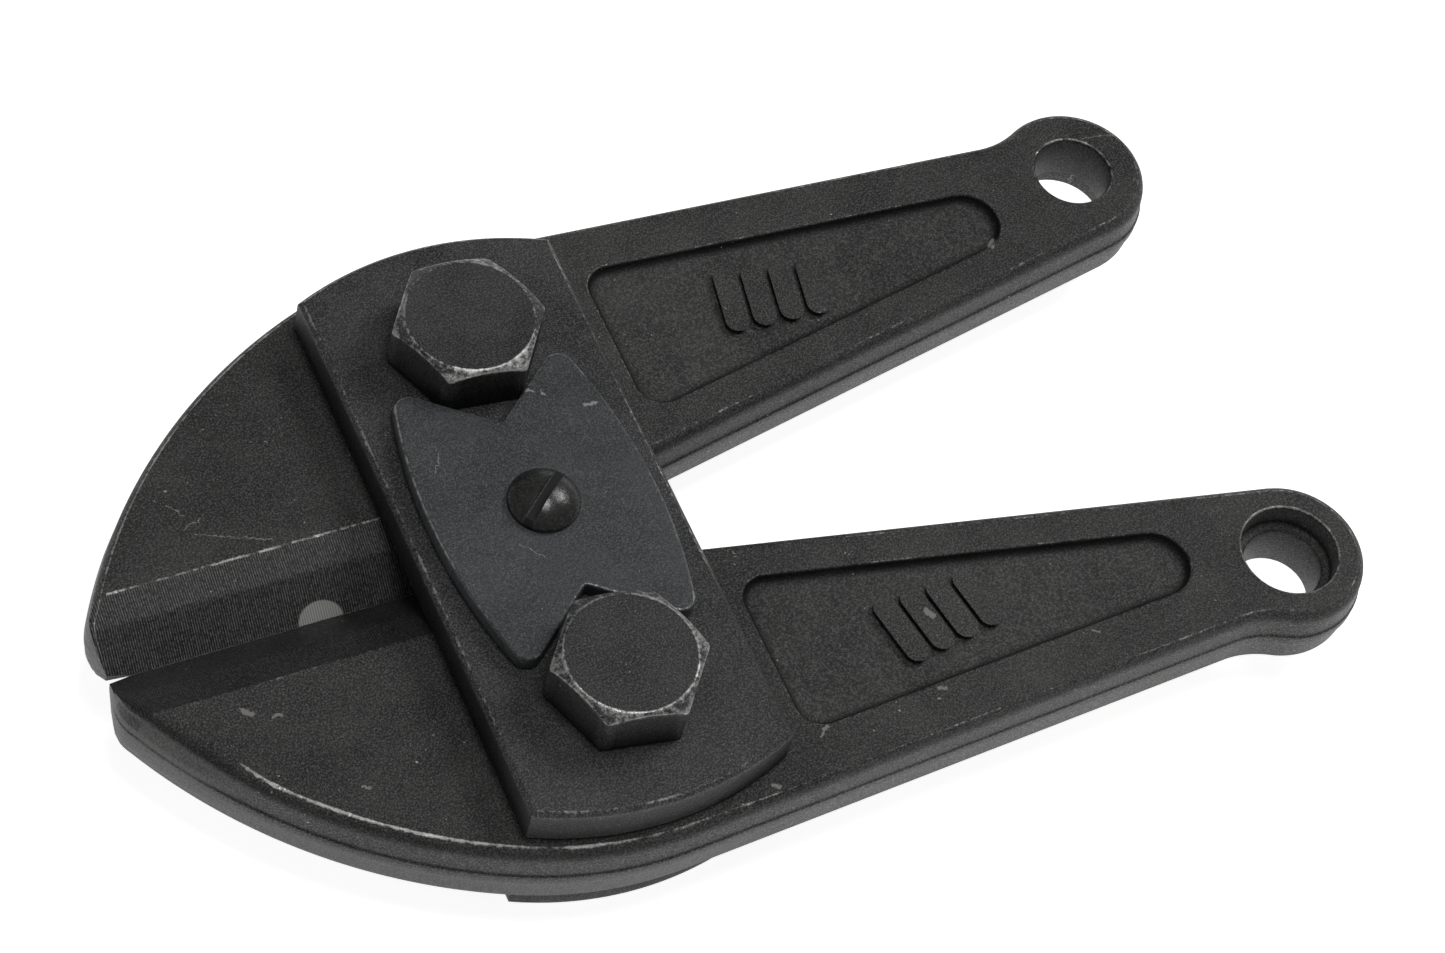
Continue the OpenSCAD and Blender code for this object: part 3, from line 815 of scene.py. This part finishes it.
def oxide_group():
    """Blackened steel: grain, cloudy tone, pale specks, bare metal where the oxide is gone, and painted
    shade where the wear value is below nothing.
    """
    n, given, out = new_group("Blackened steel", (
        ("Place", "Vector", None), ("Wear and shade", "Float", 0.0), ("Dark", "Color", grey(0.02)),
        ("Pale", "Color", grey(0.05)), ("Bare", "Color", grey(0.4)), ("Grain mm", "Float", 0.5),
        ("Wear", "Float", 0.5), ("Specks", "Float", 0.5), ("Gloss", "Float", 0.5),
    ), (("Color", "Color"), ("Roughness", "Float"), ("Metallic", "Float"), ("Height", "Float")))
    place = given["Place"]
    size = n.math("DIVIDE", 1000.0, given["Grain mm"])
    grain = n.add("TexNoise", {"Vector": place, "Scale": size, "Detail": 3.0,
                               "Roughness": 0.7}).outputs["Fac"]
    pits = n.add("TexVoronoi", {"Vector": place, "Scale": n.math("MULTIPLY", size, 0.8)}).outputs["Distance"]
    cloud = n.noise(place, 9.0, 4.0, 0.6)
    wide = n.noise(place, 34.0, 3.0, 0.55)
    ragged = n.noise(place, 0.9, 5.0, 0.75)
    patches = n.noise(place, 13.0, 3.0, 0.6)
    dots = n.noise(place, 0.5, 1.0, 0.4)
    sparse = n.noise(place, 5.0, 2.0, 0.5)

    tone = n.math("ADD", n.ramp(grain, 0.46, 0.66, 0.0, 0.85), n.ramp(cloud, 0.38, 0.68, 0.0, 0.15))
    tone = n.math("ADD", tone, n.ramp(wide, 0.38, 0.66, 0.0, 0.15), clamp=True)
    color = n.mix(tone, given["Dark"], given["Pale"])
    # Painted shade: a wear value below nothing darkens the colour nearly to black, standing in for shade in
    # hollows, corners and walls turned from the light.
    painted_shade = n.math("MULTIPLY", n.ramp(given["Wear and shade"], 0.0, -1.0), n.ramp(patches, 0.3, 0.6, 0.85, 1.0))
    color = n.mix(n.math("MULTIPLY", painted_shade, 0.9), color, grey(0.002))

    speck = n.math("GREATER_THAN", n.math("ADD", dots, n.ramp(sparse, 0.4, 0.75, -0.12, 0.06)),
                   n.ramp(given["Specks"], 0.0, 1.0, 0.84, 0.7))
    rub = n.math("MULTIPLY", given["Wear and shade"], n.ramp(patches, 0.32, 0.62, 0.5, 1.1))
    rub = n.math("ADD", rub, n.ramp(ragged, 0.3, 0.72, -0.55, 0.3))
    first_bare = n.ramp(given["Wear"], 0.0, 1.0, 0.95, 0.1)
    all_bare = n.ramp(given["Wear"], 0.0, 1.0, 1.4, 0.55)
    worn = n.ramp(rub, first_bare, all_bare)
    bare = n.math("MAXIMUM", worn, n.math("MULTIPLY", speck, 0.75), clamp=True)
    color = n.mix(bare, color, given["Bare"])

    rough = n.math("ADD", n.ramp(grain, 0.3, 0.7, 0.09, -0.09), n.ramp(cloud, 0.3, 0.7, -0.05, 0.05))
    rough = n.math("ADD", rough, n.ramp(given["Gloss"], 0.0, 1.0, 0.75, 0.25), clamp=True)
    height = n.math("ADD", grain, n.math("MULTIPLY", pits, 0.5))
    height = n.math("ADD", height, n.math("MULTIPLY", cloud, 0.8))
    n.tree.links.new(color, out["Color"])
    rough = n.math("ADD", rough, n.math("MULTIPLY", painted_shade, 0.25), clamp=True)
    n.tree.links.new(n.blend(bare, rough, 0.3), out["Roughness"])
    n.tree.links.new(n.math("MULTIPLY", bare, 0.75), out["Metallic"])
    n.tree.links.new(n.math("SUBTRACT", height, n.math("MULTIPLY", bare, 0.3)), out["Height"])
    return n.tree


def scratch_group():
    """Thin scratches that run mostly one way, as a mask."""
    n, given, out = new_group("Scratches", (
        ("Place", "Vector", None), ("Turn", "Float", 0.0), ("Length mm", "Float", 6.0),
        ("Amount", "Float", 0.5),
    ), (("Mask", "Float"),))
    spin = n.add("VectorRotate", {"Vector": given["Place"], "Angle": given["Turn"]},
                 rotation_type="Z_AXIS").outputs[0]
    bend = n.add("TexNoise", {"Vector": spin, "Scale": 60.0, "Detail": 1.0}).outputs["Color"]
    spin = n.vector("ADD", spin, n.vector("MULTIPLY", bend, (0.0012, 0.0012, 0.0)))
    stretch = n.math("DIVIDE", 0.22, given["Length mm"])
    shape = n.add("CombineXYZ", {"X": stretch, "Y": 1.0, "Z": 0.3}).outputs[0]
    lines = n.add("TexNoise", {"Vector": n.vector("MULTIPLY", spin, shape), "Scale": 4200.0, "Detail": 2.0,
                               "Roughness": 0.5}).outputs["Fac"]
    where = n.noise(given["Place"], 7.0, 3.0, 0.6)
    level = n.math("ADD", lines, n.ramp(where, 0.35, 0.7, -0.12, 0.05))
    mask = n.ramp(level, n.ramp(given["Amount"], 0.0, 1.0, 0.74, 0.58),
                  n.ramp(given["Amount"], 0.0, 1.0, 0.8, 0.68))
    n.tree.links.new(mask, out["Mask"])
    return n.tree


# Chips and scratches in the oxide: x and y of both ends from the pivot line, and the width
FORGED_MARKS = (
    (-54, -14.5, -53, -15.5, 1.1), (-50, -17, -49, -17, 0.8), (-41.5, -32.5, -40.5, -33, 0.5),
    (-50, 17, -39, 12.5, 0.16), (-52.5, 23.5, -50.5, 20.5, 0.2), (-51.5, 18.5, -48.5, 19.5, 0.16),
    (50, -45, 51, -45.5, 0.7), (28.5, -47, 30.5, -45.5, 0.6), (78.5, -43.5, 79.5, -44, 0.6),
    (18, -52.5, 18.5, -53, 0.8), (96, 30, 97.5, 31.5, 1.1), (121.5, 46, 127.5, 45, 0.18),
    (54.5, -31.5, 55, -32.5, 1.2),
)
PLATE_MARKS = (
    (13.5, 15, 15, 14.5, 0.7), (5.5, 20, 6.5, 19.5, 0.6), (7.5, 19, 8, 18.5, 0.5),
    (-14, 10, -12, 13.5, 0.14), (-6.5, -6, -3.5, -9.5, 0.12),
)


def start_material(name):
    """A material with its shader, the object's own coordinates, and the wear and painted shade of its
    points.
    """
    material = bpy.data.materials.new(name)
    material.use_nodes = True
    tree = material.node_tree
    tree.nodes.clear()
    n = Nodes(tree)
    shader = n.add("BsdfPrincipled")
    tree.links.new(shader.outputs[0], n.add("OutputMaterial").inputs[0])
    place = n.add("TexCoord").outputs["Object"]
    edge = n.add("Attribute", attribute_name="wear").outputs["Fac"]
    return material, n, shader, place, edge


def bare_marks(n, place, marks):
    """Chips and scratches. marks: x and y of both ends from the pivot line, and the width, in mm."""
    shift = n.add("TexNoise", {"Vector": place, "Scale": 1100.0, "Detail": 3.0}).outputs["Color"]
    shift = n.vector("MULTIPLY", n.vector("SUBTRACT", shift, (0.5, 0.5, 0.5)), (0.0016, 0.0016, 0.0))
    flat = n.vector("ADD", n.vector("MULTIPLY", place, (1.0, 1.0, 0.0)), shift)
    mask = 0.0
    for x0, y0, x1, y1, width in marks:
        length = math.hypot(x1 - x0, y1 - y0)
        way = ((x1 - x0) / length, (y1 - y0) / length, 0.0)
        away = n.vector("SUBTRACT", flat, (MM * (PIVOT_X + x0), MM * y0, 0.0))
        along = n.add("VectorMath", {0: away, 1: way}, operation="DOT_PRODUCT").outputs["Value"]
        along = n.add("Clamp", {"Value": along, "Min": 0.0, "Max": MM * length}).outputs[0]
        near = n.add("VectorMath", {0: way, "Scale": along}, operation="SCALE").outputs[0]
        far = n.add("VectorMath", {0: n.vector("SUBTRACT", away, near)}, operation="LENGTH").outputs["Value"]
        mask = n.math("MAXIMUM", mask, n.ramp(far, MM * width * 0.5, MM * width * 0.3, 0.0, 0.85))
    return mask


def finish_shader(n, shader, color, rough, metal, height, depth_mm, specular=0.5):
    """Connects the finished colour, roughness, metal and height to the shader."""
    n.tree.links.new(color, shader.inputs["Base Color"])
    n.tree.links.new(rough, shader.inputs["Roughness"])
    n.tree.links.new(metal, shader.inputs["Metallic"])
    shader.inputs["Specular IOR Level"].default_value = specular
    bump = n.add("Bump", {"Height": height, "Strength": 1.0, "Distance": MM * depth_mm})
    n.tree.links.new(bump.outputs[0], shader.inputs["Normal"])


def forged_finish(oxide, scratches):
    """Blackened forging, with grinding lines where the flash was trimmed."""
    material, n, shader, place, edge = start_material("forged_black_oxide")
    base = n.group(oxide, {"Place": place, "Wear and shade": edge, "Dark": grey(0.005),
                           "Pale": grey(0.14, (1, 1, 0.97)), "Bare": grey(0.55, (1, 0.98, 0.95)),
                           "Grain mm": 0.3, "Wear": 0.62, "Specks": 0.5, "Gloss": 0.6})
    marks = n.group(scratches, {"Place": place, "Turn": 0.6, "Length mm": 5.0, "Amount": 0.22})["Mask"]
    trim = n.add("Attribute", attribute_name="trim").outputs["Fac"]
    lines = n.noise(place, 0.35, 3.0, 0.6, (1.0, 1.0, 0.06))
    ground = n.math("MULTIPLY", trim, n.ramp(lines, 0.3, 0.6, 0.3, 1.0))
    color = n.mix(n.math("MULTIPLY", ground, 0.6), base["Color"], grey(0.12, (1, 0.98, 0.97)))
    color = n.mix(n.math("MULTIPLY", marks, 0.5), color, grey(0.2))
    rough = n.blend(n.math("MULTIPLY", ground, 0.8), base["Roughness"], 0.5)
    height = n.math("ADD", base["Height"], n.math("MULTIPLY", n.math("MULTIPLY", lines, trim), 1.2))
    flecks = bare_marks(n, place, FORGED_MARKS)
    color = n.mix(flecks, color, grey(0.32, (1, 0.96, 0.9)))
    finish_shader(n, shader, color, rough, base["Metallic"], height, 0.13, 0.3)
    return material


# Pitch of the grinding lines on the bevel, and the polished spot beside the upper cutting edge
GRIND_PITCH = 0.4
SPOT_X, SPOT_Z, SPOT_R = 35.1, 15.2, 3.8


def ground_finish(oxide):
    """Cross ground bevel beside the cutting edge, with a polished spot on the upper jaw."""
    material, n, shader, place, edge = start_material("cross_ground_bevel")
    base = n.group(oxide, {"Place": place, "Wear and shade": edge, "Dark": grey(0.003), "Pale": grey(0.06),
                           "Bare": grey(0.5), "Grain mm": 0.3, "Wear": 0.5, "Specks": 0.5, "Gloss": 0.62})
    drift = n.noise(place, 3.0, 2.0, 0.5)
    axes = n.add("SeparateXYZ", {"Vector": place}).outputs
    upper = n.math("GREATER_THAN", axes[1], MM * 0.05)
    along = n.math("MULTIPLY", axes[0], 2 * math.pi / (MM * GRIND_PITCH))
    along = n.math("ADD", along, n.math("MULTIPLY", drift, 2.2))
    wave = n.math("MULTIPLY", n.math("SINE", along), n.ramp(upper, 0.0, 1.0, 0.2, 1.0))
    patch = n.noise(place, 0.5, 3.0, 0.7)
    lines = n.math("MULTIPLY", n.ramp(wave, 0.0, 1.0), n.ramp(patch, 0.38, 0.6, 0.1, 1.0))
    color = n.mix(n.math("MULTIPLY", lines, 0.75), base["Color"], grey(0.3, (1, 0.99, 0.97)))
    spot = n.vector("SUBTRACT", place, (MM * (PIVOT_X - SPOT_X), 0.0, MM * SPOT_Z))
    spot = n.vector("MULTIPLY", spot, (1.0, 1.45, 0.6))
    far = n.add("VectorMath", {0: spot}, operation="LENGTH").outputs["Value"]
    bare = n.math("MULTIPLY", n.ramp(far, MM * SPOT_R, MM * (SPOT_R - 0.3)), upper)
    bare = n.math("MULTIPLY", bare, n.ramp(wave, -1.0, 1.0, 0.6, 1.0))
    color = n.mix(bare, color, grey(0.5, (1, 0.99, 0.94)))
    rough = n.blend(n.math("MULTIPLY", lines, 0.6), base["Roughness"], 0.42)
    height = n.math("ADD", n.math("MULTIPLY", base["Height"], 0.7), n.math("MULTIPLY", wave, 0.3))
    finish_shader(n, shader, color, rough, base["Metallic"], height, 0.08, 0.3)
    return material


def strap_finish(oxide, scratches):
    """Flat ground strap with a satin black oxide."""
    material, n, shader, place, edge = start_material("satin_black_strap")
    base = n.group(oxide, {"Place": place, "Wear and shade": edge, "Dark": grey(0.006),
                           "Pale": grey(0.15, (0.98, 1, 0.97)), "Bare": grey(0.5),
                           "Grain mm": 0.28, "Wear": 0.55, "Specks": 0.35, "Gloss": 0.62})
    marks = n.group(scratches, {"Place": place, "Turn": -0.5, "Length mm": 7.0, "Amount": 0.25})["Mask"]
    color = n.mix(n.math("MULTIPLY", marks, 0.4), base["Color"], grey(0.16))
    finish_shader(n, shader, color, base["Roughness"], base["Metallic"], base["Height"], 0.1, 0.3)
    return material


def plate_finish(oxide, scratches):
    """Bluish oxide on the lock plate, with fingered smears."""
    material, n, shader, place, edge = start_material("blued_lock_plate")
    base = n.group(oxide, {"Place": place, "Wear and shade": edge, "Dark": grey(0.024, (0.93, 1, 1.05)),
                           "Pale": grey(0.16, (0.95, 1, 1.03)), "Bare": grey(0.5), "Grain mm": 0.26,
                           "Wear": 0.42, "Specks": 0.45, "Gloss": 0.62})
    marks = n.group(scratches, {"Place": place, "Turn": 0.9, "Length mm": 8.0, "Amount": 0.3})["Mask"]
    smear = n.ramp(n.noise(place, 16.0, 4.0, 0.6, (1.0, 0.6, 1.0)), 0.45, 0.62)
    color = n.mix(n.math("MULTIPLY", smear, 0.35), base["Color"], grey(0.08, (0.9, 1, 1.1)))
    color = n.mix(n.math("MULTIPLY", marks, 0.45), color, grey(0.2))
    flecks = bare_marks(n, place, PLATE_MARKS)
    color = n.mix(flecks, color, grey(0.4, (1, 0.98, 0.94)))
    rough = n.math("SUBTRACT", base["Roughness"], n.math("MULTIPLY", smear, 0.06), clamp=True)
    finish_shader(n, shader, color, rough, base["Metallic"], base["Height"], 0.06, 0.35)
    return material


def bolt_finish(oxide, scratches):
    """Dull bolt heads with a bright rubbed chamfer."""
    material, n, shader, place, edge = start_material("rubbed_bolt_head")
    base = n.group(oxide, {"Place": place, "Wear and shade": edge, "Dark": grey(0.006), "Pale": grey(0.13),
                           "Bare": grey(0.55, (1, 0.99, 0.97)), "Grain mm": 0.3, "Wear": 0.58,
                           "Specks": 0.4, "Gloss": 0.6})
    marks = n.group(scratches, {"Place": place, "Turn": 1.2, "Length mm": 6.0, "Amount": 0.45})["Mask"]
    color = n.mix(n.math("MULTIPLY", marks, 0.4), base["Color"], grey(0.14))
    finish_shader(n, shader, color, base["Roughness"], base["Metallic"], base["Height"], 0.08, 0.35)
    return material


def screw_finish(oxide, scratches):
    """Glossy black screw head."""
    material, n, shader, place, edge = start_material("glossy_screw_head")
    base = n.group(oxide, {"Place": place, "Wear and shade": edge, "Dark": grey(0.012),
                           "Pale": grey(0.06, (1, 1, 0.94)), "Bare": grey(0.38),
                           "Grain mm": 0.45, "Wear": 0.4, "Specks": 0.3, "Gloss": 0.95})
    marks = n.group(scratches, {"Place": place, "Turn": 0.7, "Length mm": 3.0, "Amount": 0.4})["Mask"]
    color = n.mix(n.math("MULTIPLY", marks, 0.4), base["Color"], grey(0.2))
    # Painted shade: the slot is painted near black and made rougher.
    off_axis = n.vector("SUBTRACT", place, (MM * PIVOT_X, 0.0, 0.0))
    across = n.add("VectorMath", {0: off_axis, 1: (*toward(SLOT_TURN + 90), 0.0)},
                   operation="DOT_PRODUCT").outputs["Value"]
    slot = n.ramp(n.math("ABSOLUTE", across), MM * (SLOT_W / 2 - 0.05), MM * (SLOT_W / 2 - 0.15))
    color = n.mix(slot, color, grey(0.003))
    rough = n.blend(slot, base["Roughness"], 0.8)
    finish_shader(n, shader, color, rough, base["Metallic"], base["Height"], 0.03, 0.7)
    return material


# ---------------------------------------------------------------- studio

def make_floor():
    """Pale floor, lit from below like a light table."""
    size = 3.0
    me = bpy.data.meshes.new("studio_floor")
    corners = [(-size, -size, 0), (size, -size, 0), (size, size, 0), (-size, size, 0)]
    me.from_pydata(corners, [], [(0, 1, 2, 3)])
    floor = bpy.data.objects.new("studio_floor", me)
    bpy.context.scene.collection.objects.link(floor)
    material = bpy.data.materials.new("pale_floor")
    material.use_nodes = True
    n = Nodes(material.node_tree)
    shader = material.node_tree.nodes["Principled BSDF"]
    shader.inputs["Roughness"].default_value = 0.9
    shader.inputs["Specular IOR Level"].default_value = 0.1
    shader.inputs["Emission Color"].default_value = (1.0, 1.0, 1.0, 1.0)
    shader.inputs["Emission Strength"].default_value = 0.88
    mottle = n.noise(n.add("TexCoord").outputs["Object"], 400.0, 2.0)
    n.tree.links.new(n.mix(mottle, grey(0.84), grey(0.88)), shader.inputs["Base Color"])
    me.materials.append(material)


def soft_box(name, place, size, power, target=(0.0, 0.0, 0.015)):
    """A soft rectangular lamp that faces the object."""
    lamp = bpy.data.lights.new(name, "AREA")
    lamp.shape, lamp.size, lamp.size_y, lamp.energy = "RECTANGLE", size[0], size[1], power
    holder = bpy.data.objects.new(name, lamp)
    holder.location = place
    holder.rotation_mode = "QUATERNION"
    holder.rotation_quaternion = (Vector(target) - Vector(place)).to_track_quat("-Z", "Y")
    bpy.context.scene.collection.objects.link(holder)


def make_light():
    """Soft studio light: a dim room and two soft boxes above the far side."""
    world = bpy.data.worlds.new("studio_room")
    world.use_nodes = True
    back = world.node_tree.nodes["Background"]
    back.inputs["Color"].default_value = (1.0, 1.0, 1.0, 1.0)
    back.inputs["Strength"].default_value = 0.12
    bpy.context.scene.world = world
    soft_box("over_head", (0.05, -0.05, 1.2), (0.35, 0.35), 3.6)
    soft_box("far_right", (1.0, 0.25, 1.1), (0.5, 0.5), 5.5)


def make_camera():
    """Camera above the near left of the head, looking down on it."""
    azimuth, elevation, roll = math.radians(-38.29), math.radians(55.32), math.radians(17.14)
    look = Vector((-math.sin(azimuth) * math.cos(elevation), math.cos(azimuth) * math.cos(elevation),
                   -math.sin(elevation)))
    level = look.cross(Vector((0, 0, 1))).normalized()
    upright = level.cross(look)
    right = level * math.cos(roll) + upright * math.sin(roll)
    up = upright * math.cos(roll) - level * math.sin(roll)
    data = bpy.data.cameras.new("camera")
    data.lens, data.sensor_width = 102.9, 36.0
    data.clip_start, data.clip_end = 0.05, 20.0
    camera = bpy.data.objects.new("camera", data)
    turn = Matrix((right, up, -look)).transposed().to_4x4()
    place = Vector((MM * (PIVOT_X - 198.92), MM * -292.66, MM * (PLATE_Z + 534.03)))
    camera.matrix_world = Matrix.Translation(place) @ turn
    bpy.context.scene.collection.objects.link(camera)
    bpy.context.scene.camera = camera


make_camera()
make_light()
make_floor()
oxide = oxide_group()
scratches = scratch_group()
make_jaws(forged_finish(oxide, scratches), ground_finish(oxide))
make_straps(strap_finish(oxide, scratches))
make_lock_plate(plate_finish(oxide, scratches))
make_bolts(bolt_finish(oxide, scratches))
make_lock_screw(screw_finish(oxide, scratches))
bpy.context.scene.view_settings.view_transform = "Standard"
